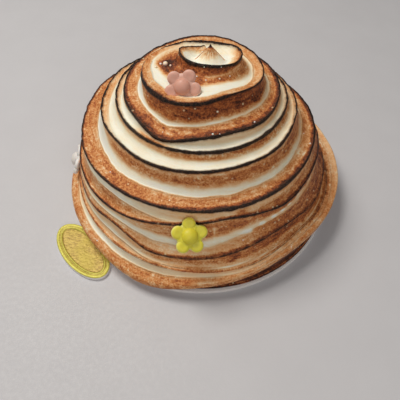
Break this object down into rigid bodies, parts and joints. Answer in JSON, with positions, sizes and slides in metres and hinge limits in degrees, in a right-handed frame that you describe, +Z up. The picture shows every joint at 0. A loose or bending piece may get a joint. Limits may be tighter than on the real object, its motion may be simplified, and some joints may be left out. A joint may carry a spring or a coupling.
{
  "type": "mousse cake",
  "caption": "Individual dome cake under toasted meringue scraped into a spiral of sharp ridges, with sugar flowers on its sides, standing on a round gold card with a finger tab.",
  "frame": {"origin": "centre of the card's round underside, on the cake's axis, at the surface the cake stands on", "axes": "+Z up along the cake's axis; -Y towards the side the picture shows nearest, +X to that view's right; the card's finger tab lies between -X and -Y"},
  "size_m": [0.0855, 0.0832, 0.0503],
  "materials": {
    "toasted_meringue": null,
    "pink_sugar": null,
    "yellow_sugar": null,
    "white_sugar": null,
    "gold_card": "gold foil on card"
  },
  "bodies": {
    "root": {"meringue": "toasted_meringue", "flower_pink": "pink_sugar", "flower_yellow": "yellow_sugar", "flower_white": "white_sugar", "cake_card": "gold_card"}
  },
  "joints": []
}
